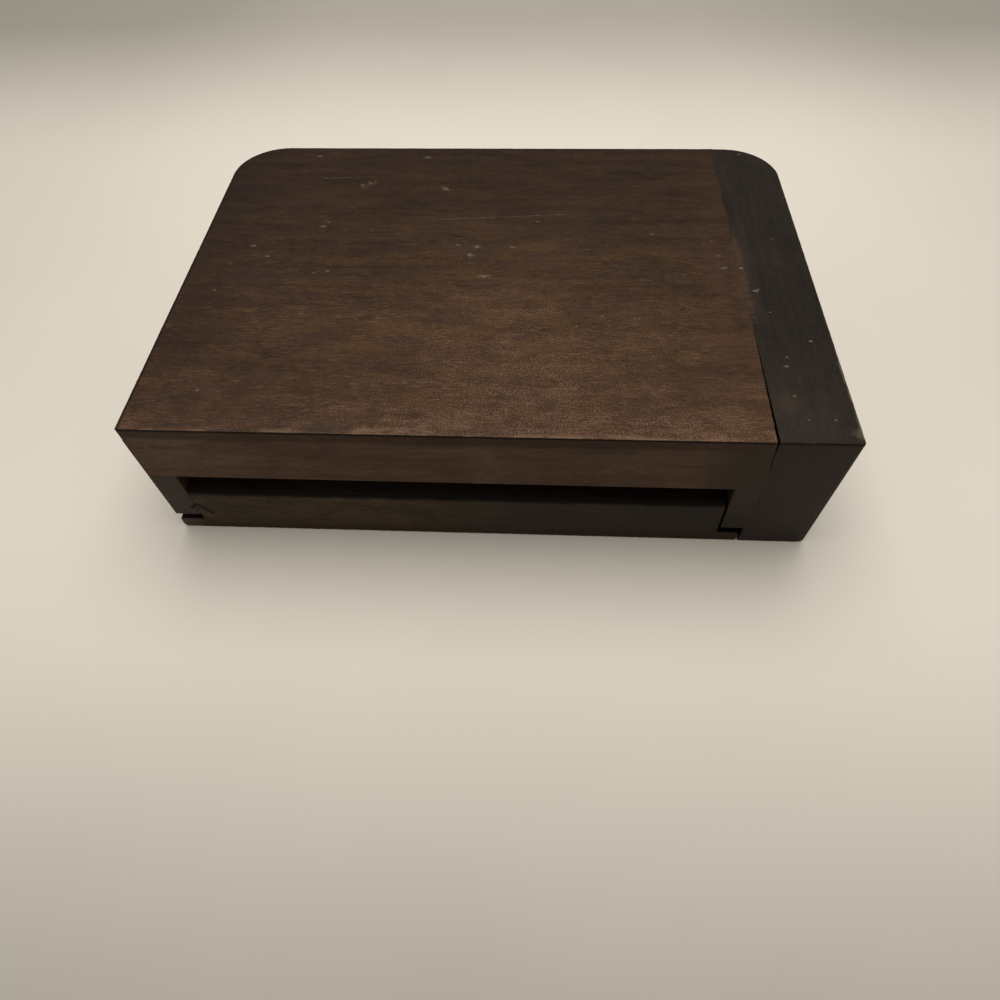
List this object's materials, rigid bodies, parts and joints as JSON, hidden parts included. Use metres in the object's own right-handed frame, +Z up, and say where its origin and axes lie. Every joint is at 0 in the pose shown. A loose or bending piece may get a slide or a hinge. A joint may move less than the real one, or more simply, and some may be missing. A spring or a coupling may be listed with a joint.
{
  "type": "trinket box",
  "caption": "Low dark-stained wooden keepsake box with rounded back corners, a glued end strip and a pull-out tray below a finger slot.",
  "frame": {"origin": "on the table, under the middle of the box's outline", "axes": "+X to the right end with the dark strip, +Y to the rounded back, +Z up"},
  "size_m": [0.254, 0.181, 0.062],
  "materials": {
    "stained_hardwood": "dark brown stain, satin, worn arrises",
    "dark_strip_stain": "near-black stain, satin",
    "bare_red_hardwood": "bare planed hardwood",
    "red_felt": "matt felt"
  },
  "bodies": {
    "carcass": {"top_board": "stained_hardwood", "front_rail": "stained_hardwood", "left_wall": "stained_hardwood", "right_wall": "stained_hardwood", "back_wall": "stained_hardwood", "end_strip": "dark_strip_stain", "left_corner_block": "bare_red_hardwood", "right_corner_block": "bare_red_hardwood", "strip_dowel_front": "bare_red_hardwood", "strip_dowel_middle": "bare_red_hardwood", "strip_dowel_rear": "bare_red_hardwood", "rail_dowel_left": "bare_red_hardwood", "rail_dowel_right": "bare_red_hardwood"},
    "tray": {"tray_front": "stained_hardwood", "tray_base": "bare_red_hardwood", "tray_left_side": "bare_red_hardwood", "tray_right_side": "bare_red_hardwood", "tray_back": "bare_red_hardwood", "tray_left_runner": "bare_red_hardwood", "tray_right_runner": "bare_red_hardwood", "tray_lining": "red_felt", "tray_dowel_left_lower": "bare_red_hardwood", "tray_dowel_left_upper": "bare_red_hardwood", "tray_dowel_right_lower": "bare_red_hardwood", "tray_dowel_right_upper": "bare_red_hardwood"}
  },
  "joints": [
    {"name": "tray_slide", "type": "slide", "parent": "carcass", "child": "tray", "axis": [0, -1, 0], "range_m": [0, 0.111]}
  ]
}
